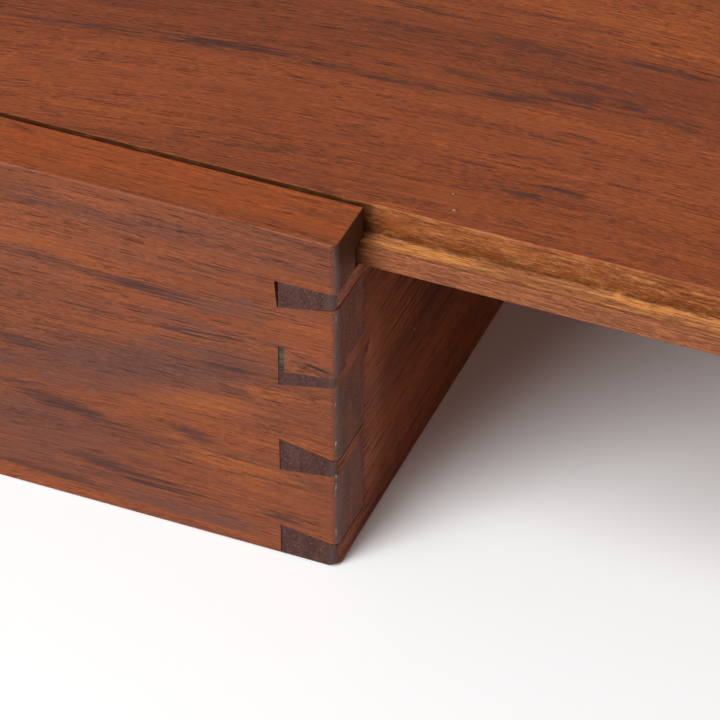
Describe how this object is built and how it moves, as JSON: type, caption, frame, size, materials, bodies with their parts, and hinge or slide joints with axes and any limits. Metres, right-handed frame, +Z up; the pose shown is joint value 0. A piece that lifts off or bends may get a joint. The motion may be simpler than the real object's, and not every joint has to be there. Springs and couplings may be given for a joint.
{
  "type": "sliding lid wooden box",
  "caption": "Dovetailed wooden box for papers and keepsakes, with a flush lid that slides in side grooves and leaves over a lower end board.",
  "frame": {"origin": "centre of the case's underside, where it rests", "axes": "+Z up, +X along the long sides towards the low end board that the lid slides out over, +Y across the box away from the front side"},
  "size_m": [0.345, 0.18, 0.06],
  "materials": {
    "side_wood": "satin oiled reddish-brown hardwood, fine dark pores along the grain",
    "end_wood": "satin oiled reddish-brown hardwood, dark end grain on the pins",
    "panel_wood": "planed hardwood, lightly oiled",
    "lid_wood": "satin oiled orange-brown hardwood, fine dark pores along the grain",
    "patch_wood": "satin oiled long grain sliver",
    "filler": "dry greenish-grey wood filler"
  },
  "bodies": {
    "case": {"front_side": "side_wood", "back_side": "side_wood", "low_end_board": "end_wood", "high_end_board": "end_wood", "bottom_panel": "panel_wood", "pin_patch": "patch_wood", "joint_filler": "filler"},
    "lid": {"sliding_lid": "lid_wood"}
  },
  "joints": [
    {"name": "lid_slide", "type": "slide", "parent": "case", "child": "lid", "axis": [1, 0, 0], "range_m": [-0.085, 0.16]}
  ]
}
